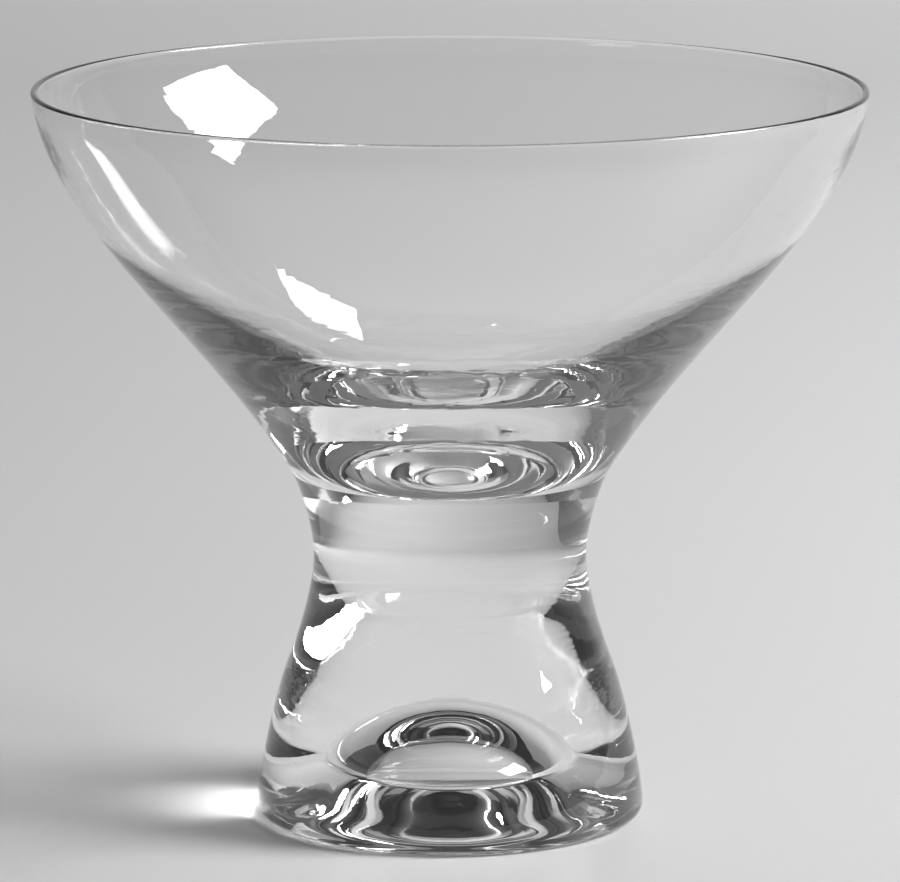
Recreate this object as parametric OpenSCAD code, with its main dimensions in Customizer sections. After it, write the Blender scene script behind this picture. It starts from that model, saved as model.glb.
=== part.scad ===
// Wide cocktail glass: a flared bowl on a short solid waisted stem and a heavy foot.
// The axis is +Z, and the origin is the middle of the foot's underside, on the table.
// Three gathers of clear glass meet face to face, each one a solid turned about the axis.

/* [Bowl] */
// Outside diameter of the rim
rim_d = 116; // [96:1:136]
// Height of the bowl above the stem
bowl_h = 54; // [44:1:66]
// Wall at the rim, before it rounds over
rim_wall = 0.9; // [0.7:0.1:1.8]
// Wall where it begins to thicken towards the floor, measured level
thin_wall = 1.04; // [0.9:0.02:1.8]
// Solid glass between the stem's top and the lowest point of the cavity
floor_t = 0.5; // [0.3:0.1:4]
// Diameter of the cavity's rounded bottom, where it turns into the wall
haunch_d = 44.8; // [38:0.4:48]
// Height of that turn above the lowest point of the cavity
haunch_h = 10.2; // [8:0.2:12]

/* [Stem] */
// Height of the stem, from the waist to the crease under the bowl
stem_h = 12; // [8:0.5:20]
// Diameter at the crease, where the stem carries the bowl
crease_d = 44.2; // [40:0.2:50]
// Diameter of the waist
waist_d = 38.3; // [30:0.1:40]

/* [Foot] */
// Height of the foot, from the table to the waist
foot_h = 37; // [28:1:48]
// Widest diameter of the foot
foot_d = 54.5; // [48:0.5:66]
// Diameter at the bend of the foot's side
bend_d = 45.5; // [42:0.5:47]
// Height of that bend above the table
bend_h = 22; // [16:1:26]
// Rounding of the lower edge
edge_r = 1.5; // [0.5:0.1:3]
// Width of the flat ring that the foot stands on, inside the rounding
ring_w = 1.8; // [0.6:0.1:3]
// Height of the shallow dish inside that ring
dish_h = 6.2; // [3:0.1:8]
// Diameter of the dome that rises from the dish
dome_d = 23.2; // [18:0.4:32]
// Height of the dome above the dish
dome_h = 8.4; // [5:0.2:12]

/* [Hidden] */

// Chords in one curve of an outline, and round the glass in the preview
curve_steps = 14;
$fn = 160;

// Heights of the joints and radii of the outline
waist_z = foot_h;
crease_z = waist_z + stem_h;
glass_h = crease_z + bowl_h;
rim_r = rim_d / 2;
crease_r = crease_d / 2;
waist_r = waist_d / 2;
foot_r = foot_d / 2;
bend_r = bend_d / 2;
cavity_z = crease_z + floor_t;
haunch_r = haunch_d / 2;
haunch_z = cavity_z + haunch_h;
ring_r = foot_r - edge_r - ring_w;
lip_r = rim_wall / 2;
lip_z = glass_h - lip_r;

// Handles of the curves, as shares of the run and the rise between a curve's ends. A start share
// carries the line of the curve before it past their common point, so the two meet smoothly.
bowl_low_shares = [0.35, 0.39];
bowl_high_shares = [0.94, 0.66];
wall_high_share = 0.87;
wall_up_share = 0.58;
wall_down_share = 0.6;
wall_start_share = 0.45;
floor_side_shares = [0.55, 0.14];
floor_middle_share = 0.42;
stem_low_share = 0.3;
stem_high_shares = [0.46, 0.7];
flare_high_share = 0.28;
flare_low_shares = [0.56, 0.74];
skirt_start_share = 1;
skirt_low_share = 0.8;
dish_low_shares = [0.45, 0.08];
dish_high_shares = [0.5, 0.5];
dome_low_share = 0.3;
dome_high_share = 0.62;

// Place on the bowl's outer curve, as a share of its course, where the wall begins to thicken
thin_share = 0.64;

// Point that lies a share of the run and a share of the rise from a towards b
function part_way(a, b, run_share, rise_share) =
    [a[0] + run_share * (b[0] - a[0]), a[1] + rise_share * (b[1] - a[1])];

// Point on the line from a through b, past b by a share of their distance
function past(a, b, share) = b + share * (b - a);

// Point of the cubic curve c, which holds its start, two handles and its end, at a share of its course
function place(c, t) =
    let (u = 1 - t)
    u * u * u * c[0] + 3 * u * u * t * c[1] + 3 * u * t * t * c[2] + t * t * t * c[3];

// Direction of that curve there, as long as a handle
function direction(c, t) =
    let (u = 1 - t)
    u * u * (c[1] - c[0]) + 2 * u * t * (c[2] - c[1]) + t * t * (c[3] - c[2]);

// Points of the cubic curve from a to b with the handles p and q, without its last point
function curve(a, p, q, b) = [for (i = [0 : curve_steps - 1]) place([a, p, q, b], i / curve_steps)];

// Arc about a centre, from one angle to another, without its last point
function arc(centre, radius, from, to) = [
    for (i = [0 : curve_steps - 1])
        let (angle = from + (to - from) * i / curve_steps)
        centre + radius * [cos(angle), sin(angle)]
];

// Start, handles and end of the bowl's outer curve, from the crease up to the rim
function bowl_side() =
    let (low = [crease_r, crease_z], high = [rim_r, lip_z])
    [
        low,
        part_way(low, high, bowl_low_shares[0], bowl_low_shares[1]),
        part_way(low, high, bowl_high_shares[0], bowl_high_shares[1]),
        high
    ];

// Inside of the bowl: thin wall down from the rim, thickening wall to the turn, rounded floor
function bowl_inside() =
    let (
        high = [rim_r - rim_wall, lip_z],
        thin = place(bowl_side(), thin_share) - [thin_wall, 0],
        rise = direction(bowl_side(), thin_share),
        turn = [haunch_r, haunch_z],
        low = [0, cavity_z],
        side = part_way(low, turn, floor_side_shares[0], floor_side_shares[1])
    )
    concat(
        curve(high, part_way(thin, high, 1, wall_high_share), thin + wall_up_share * rise, thin),
        curve(thin, thin - wall_down_share * rise, past(side, turn, wall_start_share), turn),
        curve(turn, side, part_way(low, turn, floor_middle_share, 0), low)
    );

module glass() {
    color([0.92, 0.95, 0.96, 0.4]) rotate_extrude() children();
}

// Flared bowl: thin rounded rim, wall that thickens downward, flat seat on the stem
module bowl() {
    glass() polygon(concat(
        [[0, crease_z]],
        curve(bowl_side()[0], bowl_side()[1], bowl_side()[2], bowl_side()[3]),
        arc([rim_r - lip_r, lip_z], lip_r, 0, 180),
        bowl_inside(),
        [[0, cavity_z]]
    ));
}

// Solid stem: straight at the waist, widening to the crease
module stem() {
    waist = [waist_r, waist_z];
    crease = [crease_r, crease_z];
    glass() polygon(concat(
        [[0, waist_z]],
        curve(
            waist,
            part_way(waist, crease, 0, stem_low_share),
            part_way(waist, crease, stem_high_shares[0], stem_high_shares[1]),
            crease
        ),
        [crease, [0, crease_z]]
    ));
}

// Heavy foot: flares from the waist to the table and is hollowed by a dome from below
module foot() {
    waist = [waist_r, waist_z];
    bend = [bend_r, bend_h];
    side = [foot_r, edge_r];
    ring = [ring_r, 0];
    mouth = [dome_d / 2, dish_h];
    apex = [0, dish_h + dome_h];
    flare_low = part_way(waist, bend, flare_low_shares[0], flare_low_shares[1]);
    glass() polygon(concat(
        curve(
            apex,
            part_way(apex, mouth, dome_high_share, 0),
            part_way(mouth, apex, 0, dome_low_share),
            mouth
        ),
        curve(
            mouth,
            part_way(ring, mouth, dish_high_shares[0], dish_high_shares[1]),
            part_way(ring, mouth, dish_low_shares[0], dish_low_shares[1]),
            ring
        ),
        [ring],
        arc([foot_r - edge_r, edge_r], edge_r, 270, 360),
        curve(
            side,
            part_way(bend, side, 1, skirt_low_share),
            past(flare_low, bend, skirt_start_share),
            bend
        ),
        curve(
            bend,
            flare_low,
            part_way(waist, bend, 0, flare_high_share),
            waist
        ),
        [waist, [0, waist_z]]
    ));
}

bowl();
stem();
foot();
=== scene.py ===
"""Visual model of a clear cocktail glass: a bowl, a stem and a foot of clear glass, each one turned
about the axis. The pieces meet face to face, and light passes straight through the fused faces."""

import math

import bmesh
import bpy
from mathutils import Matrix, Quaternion, Vector


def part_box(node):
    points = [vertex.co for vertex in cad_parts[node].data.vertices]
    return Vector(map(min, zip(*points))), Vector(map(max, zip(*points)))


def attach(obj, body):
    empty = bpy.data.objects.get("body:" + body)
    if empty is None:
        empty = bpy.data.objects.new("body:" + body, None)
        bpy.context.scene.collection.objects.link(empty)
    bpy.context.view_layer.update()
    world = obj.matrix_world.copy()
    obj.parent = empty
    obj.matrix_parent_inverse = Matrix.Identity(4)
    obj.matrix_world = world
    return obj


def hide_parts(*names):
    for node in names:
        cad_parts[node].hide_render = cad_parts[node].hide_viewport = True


MM = 0.001

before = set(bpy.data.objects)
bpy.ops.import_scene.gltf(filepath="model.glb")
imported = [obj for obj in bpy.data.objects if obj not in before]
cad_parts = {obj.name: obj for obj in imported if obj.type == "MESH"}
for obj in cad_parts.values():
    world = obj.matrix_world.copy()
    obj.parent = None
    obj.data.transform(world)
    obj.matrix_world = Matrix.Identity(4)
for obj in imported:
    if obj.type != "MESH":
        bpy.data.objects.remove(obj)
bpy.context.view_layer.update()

# Sizes that the frame gives, in metres: radii and heights of the three solids
bowl_low, bowl_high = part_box("bowl")
stem_low, stem_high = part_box("stem")
foot_low, foot_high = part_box("foot")
RIM_R = bowl_high.y
CREASE_R = stem_high.y
FOOT_R = foot_high.y
GLASS_H = bowl_high.z
CREASE_Z = bowl_low.z
WAIST_Z = foot_high.z

# Driving sizes of the outlines, in metres
RIM_WALL = 0.9 * MM
THIN_WALL = 1.04 * MM
FLOOR_T = 0.5 * MM
HAUNCH_R = 22.4 * MM
HAUNCH_H = 10.2 * MM
WAIST_R = 19.15 * MM
BEND_R = 22.75 * MM
BEND_Z = 22 * MM
EDGE_R = 1.5 * MM
RING_W = 1.8 * MM
DISH_H = 6.2 * MM
DOME_R = 11.6 * MM
DOME_H = 8.4 * MM
LIP_R = RIM_WALL / 2
LIP_Z = GLASS_H - LIP_R

# Handles of the curves, as shares of the run and the rise between a curve's ends
BOWL_LOW_SHARES = (0.35, 0.39)
BOWL_HIGH_SHARES = (0.94, 0.66)
WALL_HIGH_SHARE = 0.87
WALL_UP_SHARE = 0.58
WALL_DOWN_SHARE = 0.6
WALL_START_SHARE = 0.45
FLOOR_SIDE_SHARES = (0.55, 0.14)
FLOOR_MIDDLE_SHARE = 0.42
STEM_LOW_SHARE = 0.3
STEM_HIGH_SHARES = (0.46, 0.7)
FLARE_HIGH_SHARE = 0.28
FLARE_LOW_SHARES = (0.56, 0.74)
SKIRT_START_SHARE = 1
SKIRT_LOW_SHARE = 0.8
DISH_LOW_SHARES = (0.45, 0.08)
DISH_HIGH_SHARES = (0.5, 0.5)
DOME_LOW_SHARE = 0.3
DOME_HIGH_SHARE = 0.62

# Place on the bowl's outer curve, as a share of its course, where the wall begins to thicken
THIN_SHARE = 0.64

# Steps of one curve, of one arc, and round the axis; points closer than the distance are merged
CURVE_STEPS = 32
ARC_STEPS = 12
TURN_STEPS = 192
MERGE_DISTANCE = 1e-7

# Look of the glass: its bending of light, and the ripples' closeness, detail and height
GLASS_IOR = 1.52
RIPPLE_SCALE = (250, 250, 900)
RIPPLE_DETAIL = 1
RIPPLE_HEIGHT = 0.01 * MM

# Camera: place on the photograph's side, tilt and focal length in widths of the picture
CAMERA_Y = -0.835
CAMERA_Z = 0.2139
CAMERA_TILT = math.radians(10.905)
CAMERA_FOCAL_SHARE = 6.7503
CAMERA_NEAREST = 0.01
SENSOR_MM = 36

# Paper sweep behind and under the glass; the paper lies a hair below the foot
PAPER_LEFT_X = -0.9
PAPER_RIGHT_X = 2
PAPER_FRONT_Y = -1.2
PAPER_BACK_Y = 1.2
PAPER_BEND_R = 0.4
PAPER_TOP_Z = 1.6
PAPER_DROP = 0.1 * MM
PAPER_ROUGHNESS = 0.5
# Faint clouds in the paper: how dark and how close they are
PAPER_CLOUD_SHARE = 0.99
PAPER_CLOUD_SCALE = 6
# Greys of the paper from left to right: its pale colour with painted light that darkens it to the left.
# Shares of them from front to back: painted light that darkens the front. Each with its place
PAPER_GREYS_AND_PAINTED_LIGHT = ((-0.9, 0.66), (-0.15, 0.86), (0.15, 0.94), (0.7, 0.95))
PAPER_PAINTED_LIGHT_SHARES = ((-0.2, 0.71), (0.1, 0.8), (0.3, 0.85), (0.55, 0.93), (0.96, 1), (1.2, 1))

# Key lamp: place, aim, turn about its own axis, width, height and power
KEY_PLACE = (0.872, -0.12, 0.6)
KEY_AIM = (-0.03, 0.04, 0.09)
KEY_ROLL = math.radians(10)
KEY_SIZE = (0.48, 0.46)
KEY_POWER = 14.5
# Turns of a light path after which the lamp begins to fade, and after which it is gone
KEY_FADE = (8, 12)

# Greys of the room behind the glass, each with the elevation in degrees where it is met
ROOM_GREYS = ((-90, 0.2), (-2, 0.14), (8, 0.09), (20, 0.05), (35, 0.025), (90, 0.02))
# Grey of the same room as an even light on matt surfaces
ROOM_AMBIENT = 0.22

# Turns that a light path may take in the thick glass, and fused faces that it may pass
GLASS_BOUNCES = 48
FUSED_BOUNCES = 96

# Sockets of a Mix node for colours: the two colours and the result
FIRST_COLOUR = 6
SECOND_COLOUR = 7
MIXED_COLOUR = 2


def point(radius, height):
    return Vector((radius, height))


def part_way(a, b, run_share, rise_share):
    """Point that lies a share of the run and a share of the rise from a towards b."""
    return point(a.x + run_share * (b.x - a.x), a.y + rise_share * (b.y - a.y))


def past(a, b, share):
    """Point on the line from a through b, past b by a share of their distance."""
    return b + share * (b - a)


def place(a, p, q, b, t):
    """Point of the cubic curve from a to b with the handles p and q, at a share t of its course."""
    u = 1 - t
    return u**3 * a + 3 * u * u * t * p + 3 * u * t * t * q + t**3 * b


def direction(a, p, q, b, t):
    """Direction of that curve there, as long as a handle."""
    u = 1 - t
    return u * u * (p - a) + 2 * u * t * (q - p) + t * t * (b - q)


def curve(a, p, q, b):
    """Points of that curve, without its last one."""
    return [place(a, p, q, b, i / CURVE_STEPS) for i in range(CURVE_STEPS)]


def arc(centre, radius, start, end):
    """Arc about a centre between two angles in degrees, without its last point."""
    points = []
    for i in range(ARC_STEPS):
        angle = math.radians(start + (end - start) * i / ARC_STEPS)
        points.append(centre + radius * point(math.cos(angle), math.sin(angle)))
    return points


def bowl_outline():
    low = point(CREASE_R, CREASE_Z)
    high = point(RIM_R, LIP_Z)
    outside = (low, part_way(low, high, *BOWL_LOW_SHARES), part_way(low, high, *BOWL_HIGH_SHARES), high)
    inner_high = point(RIM_R - RIM_WALL, LIP_Z)
    thin = place(*outside, THIN_SHARE) - point(THIN_WALL, 0)
    rise = direction(*outside, THIN_SHARE)
    middle = point(0, CREASE_Z + FLOOR_T)
    turn = point(HAUNCH_R, middle.y + HAUNCH_H)
    side = part_way(middle, turn, *FLOOR_SIDE_SHARES)
    return (
        curve(*outside)
        + arc(point(RIM_R - LIP_R, LIP_Z), LIP_R, 0, 180)
        + curve(
            inner_high,
            part_way(thin, inner_high, 1, WALL_HIGH_SHARE),
            thin + WALL_UP_SHARE * rise,
            thin,
        )
        + curve(thin, thin - WALL_DOWN_SHARE * rise, past(side, turn, WALL_START_SHARE), turn)
        + curve(turn, side, part_way(middle, turn, FLOOR_MIDDLE_SHARE, 0), middle)
        + [middle]
    )


def stem_outline():
    low = point(WAIST_R, WAIST_Z)
    high = point(CREASE_R, CREASE_Z)
    low_handle = part_way(low, high, 0, STEM_LOW_SHARE)
    return curve(low, low_handle, part_way(low, high, *STEM_HIGH_SHARES), high) + [high]


def foot_outline():
    waist = point(WAIST_R, WAIST_Z)
    bend = point(BEND_R, BEND_Z)
    side = point(FOOT_R, EDGE_R)
    ring = point(FOOT_R - EDGE_R - RING_W, 0)
    mouth = point(DOME_R, DISH_H)
    apex = point(0, DISH_H + DOME_H)
    flare_low = part_way(waist, bend, *FLARE_LOW_SHARES)
    return (
        curve(
            apex,
            part_way(apex, mouth, DOME_HIGH_SHARE, 0),
            part_way(mouth, apex, 0, DOME_LOW_SHARE),
            mouth,
        )
        + curve(
            mouth,
            part_way(ring, mouth, *DISH_HIGH_SHARES),
            part_way(ring, mouth, *DISH_LOW_SHARES),
            ring,
        )
        + [ring]
        + arc(point(FOOT_R - EDGE_R, EDGE_R), EDGE_R, 270, 360)
        + curve(
            side,
            part_way(bend, side, 1, SKIRT_LOW_SHARE),
            past(flare_low, bend, SKIRT_START_SHARE),
            bend,
        )
        + curve(bend, flare_low, part_way(waist, bend, 0, FLARE_HIGH_SHARE), waist)
        + [waist]
    )


def spin(mesh, outline):
    """Turns an outline about the axis."""
    verts = [mesh.verts.new((p.x, 0, p.y)) for p in outline]
    edges = [mesh.edges.new(pair) for pair in zip(verts, verts[1:])]
    bmesh.ops.spin(
        mesh,
        geom=verts + edges,
        cent=(0, 0, 0),
        axis=(0, 0, 1),
        angle=math.tau,
        steps=TURN_STEPS,
        use_merge=True,
    )


def turned_piece(name, node, outline, fused, glass, join):
    """Closed solid turned from an outline, with flat discs where it is fused to its neighbours."""
    mesh = bmesh.new()
    for radius, height in fused:
        spin(mesh, [point(0, height), point(radius, height)])
    for face in mesh.faces:
        face.material_index = 1
    spin(mesh, outline)
    bmesh.ops.remove_doubles(mesh, verts=mesh.verts, dist=MERGE_DISTANCE)
    bmesh.ops.dissolve_degenerate(mesh, edges=mesh.edges, dist=MERGE_DISTANCE)
    bmesh.ops.recalc_face_normals(mesh, faces=mesh.faces)
    for face in mesh.faces:
        face.smooth = face.material_index == 0
    for edge in mesh.edges:
        edge.smooth = len({face.material_index for face in edge.link_faces}) == 1
    data = bpy.data.meshes.new(name)
    mesh.to_mesh(data)
    mesh.free()
    data.materials.append(glass)
    data.materials.append(join)
    piece = bpy.data.objects.new(name, data)
    bpy.context.scene.collection.objects.link(piece)
    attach(piece, "root")
    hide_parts(node)


def grey(level):
    return (level, level, level, 1)


def new_material(name):
    material = bpy.data.materials.new(name)
    material.use_nodes = True
    return material, material.node_tree.nodes, material.node_tree.links


def clear_glass():
    """Clear glass whose surface carries the fine level ripples of hand working."""
    material, nodes, links = new_material("clear_glass")
    shader = nodes["Principled BSDF"]
    shader.inputs["Base Color"].default_value = (1, 1, 1, 1)
    shader.inputs["Roughness"].default_value = 0
    shader.inputs["IOR"].default_value = GLASS_IOR
    shader.inputs["Transmission Weight"].default_value = 1
    surface = nodes.new("ShaderNodeTexCoord")
    stretch = nodes.new("ShaderNodeMapping")
    stretch.inputs["Scale"].default_value = RIPPLE_SCALE
    ripple = nodes.new("ShaderNodeTexNoise")
    ripple.inputs["Scale"].default_value = 1
    ripple.inputs["Detail"].default_value = RIPPLE_DETAIL
    bump = nodes.new("ShaderNodeBump")
    bump.inputs["Strength"].default_value = 1
    bump.inputs["Distance"].default_value = RIPPLE_HEIGHT
    links.new(surface.outputs["Object"], stretch.inputs["Vector"])
    links.new(stretch.outputs["Vector"], ripple.inputs["Vector"])
    links.new(ripple.outputs["Fac"], bump.inputs["Height"])
    links.new(bump.outputs["Normal"], shader.inputs["Normal"])
    return material


def fused_face():
    """Faces inside the glass, where two gathers are fused: light passes without a change."""
    material, nodes, links = new_material("fused_face")
    nodes.remove(nodes["Principled BSDF"])
    clear = nodes.new("ShaderNodeBsdfTransparent")
    links.new(clear.outputs["BSDF"], nodes["Material Output"].inputs["Surface"])
    return material


def ramp(nodes, links, value, levels):
    """Grey that follows a value through the levels."""
    low = levels[0][0]
    high = levels[-1][0]
    reach = nodes.new("ShaderNodeMapRange")
    reach.inputs["From Min"].default_value = low
    reach.inputs["From Max"].default_value = high
    greys = nodes.new("ShaderNodeValToRGB")
    stops = greys.color_ramp.elements
    for _ in levels[2:]:
        stops.new(1)
    for stop, (at, level) in zip(stops, levels):
        stop.position = (at - low) / (high - low)
        stop.color = grey(level)
    links.new(value, reach.inputs["Value"])
    links.new(reach.outputs["Result"], greys.inputs["Fac"])
    return greys.outputs["Color"]


def product(nodes, links, first, second):
    """Two greys multiplied."""
    mix = nodes.new("ShaderNodeMix")
    mix.data_type = "RGBA"
    mix.blend_type = "MULTIPLY"
    mix.inputs["Factor"].default_value = 1
    links.new(first, mix.inputs[FIRST_COLOUR])
    links.new(second, mix.inputs[SECOND_COLOUR])
    return mix.outputs[MIXED_COLOUR]


def paper():
    """Pale matt paper, a little paler to the right and to the back as painted light and shade, with a
    faint unevenness.
    Its back is clear, so that the glass can also be seen from behind it."""
    material, nodes, links = new_material("paper")
    shader = nodes["Principled BSDF"]
    shader.inputs["Roughness"].default_value = PAPER_ROUGHNESS
    surface = nodes.new("ShaderNodeTexCoord")
    split = nodes.new("ShaderNodeSeparateXYZ")
    cloud = nodes.new("ShaderNodeTexNoise")
    cloud.inputs["Scale"].default_value = PAPER_CLOUD_SCALE
    tint = nodes.new("ShaderNodeValToRGB")
    tint.color_ramp.elements[0].color = grey(PAPER_CLOUD_SHARE)
    tint.color_ramp.elements[1].color = grey(1)
    links.new(surface.outputs["Object"], split.inputs["Vector"])
    links.new(surface.outputs["Object"], cloud.inputs["Vector"])
    links.new(cloud.outputs["Fac"], tint.inputs["Fac"])
    # Painted light: these greys and shares make the paper paler to the right and to the back, over its
    # pale colour
    grey_and_painted_light_across = ramp(nodes, links, split.outputs["X"], PAPER_GREYS_AND_PAINTED_LIGHT)
    painted_light_along = ramp(nodes, links, split.outputs["Y"], PAPER_PAINTED_LIGHT_SHARES)
    paper_grey_with_painted_light = product(nodes, links, grey_and_painted_light_across, painted_light_along)
    links.new(product(nodes, links, paper_grey_with_painted_light, tint.outputs["Color"]), shader.inputs["Base Color"])
    side = nodes.new("ShaderNodeNewGeometry")
    clear = nodes.new("ShaderNodeBsdfTransparent")
    sheet = nodes.new("ShaderNodeMixShader")
    links.new(side.outputs["Backfacing"], sheet.inputs["Fac"])
    links.new(shader.outputs["BSDF"], sheet.inputs[1])
    links.new(clear.outputs["BSDF"], sheet.inputs[2])
    links.new(sheet.outputs["Shader"], nodes["Material Output"].inputs["Surface"])
    return material


def sweep():
    """Paper that lies under the glass and turns up behind it."""
    bend_centre_y = PAPER_BACK_Y - PAPER_BEND_R
    line = [(PAPER_FRONT_Y, 0)]
    for i in range(ARC_STEPS + 1):
        angle = math.pi / 2 * i / ARC_STEPS
        line.append((
            bend_centre_y + PAPER_BEND_R * math.sin(angle),
            PAPER_BEND_R * (1 - math.cos(angle)),
        ))
    line.append((PAPER_BACK_Y, PAPER_TOP_Z))
    mesh = bmesh.new()
    verts = [mesh.verts.new((PAPER_LEFT_X, y, z - PAPER_DROP)) for y, z in line]
    edges = [mesh.edges.new(pair) for pair in zip(verts, verts[1:])]
    wide = bmesh.ops.extrude_edge_only(mesh, edges=edges)["geom"]
    far_side = [part for part in wide if isinstance(part, bmesh.types.BMVert)]
    bmesh.ops.translate(mesh, verts=far_side, vec=(PAPER_RIGHT_X - PAPER_LEFT_X, 0, 0))
    mesh.normal_update()
    if next(iter(mesh.faces)).normal.z < 0:
        bmesh.ops.reverse_faces(mesh, faces=mesh.faces)
    for face in mesh.faces:
        face.smooth = True
    data = bpy.data.meshes.new("sweep")
    mesh.to_mesh(data)
    mesh.free()
    data.materials.append(paper())
    paper_sheet = bpy.data.objects.new("sweep", data)
    bpy.context.scene.collection.objects.link(paper_sheet)


def key_lamp():
    """Soft lamp on the right. It fades on long light paths, which the thick glass keeps dark."""
    light = bpy.data.lights.new("key", "AREA")
    light.shape = "RECTANGLE"
    light.size, light.size_y = KEY_SIZE
    light.energy = KEY_POWER
    light.use_nodes = True
    nodes = light.node_tree.nodes
    links = light.node_tree.links
    path = nodes.new("ShaderNodeLightPath")
    fade = nodes.new("ShaderNodeMapRange")
    fade.inputs["From Min"].default_value, fade.inputs["From Max"].default_value = KEY_FADE
    fade.inputs["To Min"].default_value = 1
    fade.inputs["To Max"].default_value = 0
    links.new(path.outputs["Ray Depth"], fade.inputs["Value"])
    links.new(fade.outputs["Result"], nodes["Emission"].inputs["Strength"])
    stand = bpy.data.objects.new("key", light)
    bpy.context.scene.collection.objects.link(stand)
    stand.location = KEY_PLACE
    aim = (Vector(KEY_AIM) - Vector(KEY_PLACE)).to_track_quat("-Z", "Y")
    stand.rotation_euler = (aim @ Quaternion((0, 0, 1), KEY_ROLL)).to_euler()


def camera():
    """Camera at the photograph's viewing angle."""
    data = bpy.data.cameras.new("camera")
    data.sensor_width = SENSOR_MM
    data.lens = CAMERA_FOCAL_SHARE * SENSOR_MM
    data.clip_start = CAMERA_NEAREST
    stand = bpy.data.objects.new("camera", data)
    bpy.context.scene.collection.objects.link(stand)
    stand.location = (0, CAMERA_Y, CAMERA_Z)
    stand.rotation_euler = (math.pi / 2 - CAMERA_TILT, 0, 0)
    bpy.context.scene.camera = stand


def room():
    """Dim room that darkens upward; matt surfaces get it as an even light instead."""
    world = bpy.data.worlds.new("room")
    world.use_nodes = True
    nodes = world.node_tree.nodes
    links = world.node_tree.links
    toward = nodes.new("ShaderNodeTexCoord")
    split = nodes.new("ShaderNodeSeparateXYZ")
    links.new(toward.outputs["Generated"], split.inputs["Vector"])
    levels = [(math.sin(math.radians(elevation)), level) for elevation, level in ROOM_GREYS]
    room_grey = ramp(nodes, links, split.outputs["Z"], levels)
    path = nodes.new("ShaderNodeLightPath")
    choice = nodes.new("ShaderNodeMix")
    choice.data_type = "RGBA"
    choice.inputs[SECOND_COLOUR].default_value = grey(ROOM_AMBIENT)
    links.new(room_grey, choice.inputs[FIRST_COLOUR])
    links.new(path.outputs["Diffuse Depth"], choice.inputs["Factor"])
    links.new(choice.outputs[MIXED_COLOUR], nodes["Background"].inputs["Color"])
    bpy.context.scene.world = world


glass = clear_glass()
join = fused_face()
turned_piece("blown_bowl", "bowl", bowl_outline(), [(CREASE_R, CREASE_Z)], glass, join)
turned_piece("solid_stem", "stem", stem_outline(), [(CREASE_R, CREASE_Z), (WAIST_R, WAIST_Z)], glass, join)
turned_piece("hollow_foot", "foot", foot_outline(), [(WAIST_R, WAIST_Z)], glass, join)

sweep()
key_lamp()
room()
camera()

scene = bpy.context.scene
scene.view_settings.view_transform = "Standard"
scene.cycles.max_bounces = GLASS_BOUNCES
scene.cycles.transmission_bounces = GLASS_BOUNCES
scene.cycles.glossy_bounces = GLASS_BOUNCES
scene.cycles.transparent_max_bounces = FUSED_BOUNCES
# Lamp light that the glass gathers stays whole and sharp on the paper
scene.cycles.sample_clamp_indirect = 0
scene.cycles.blur_glossy = 0
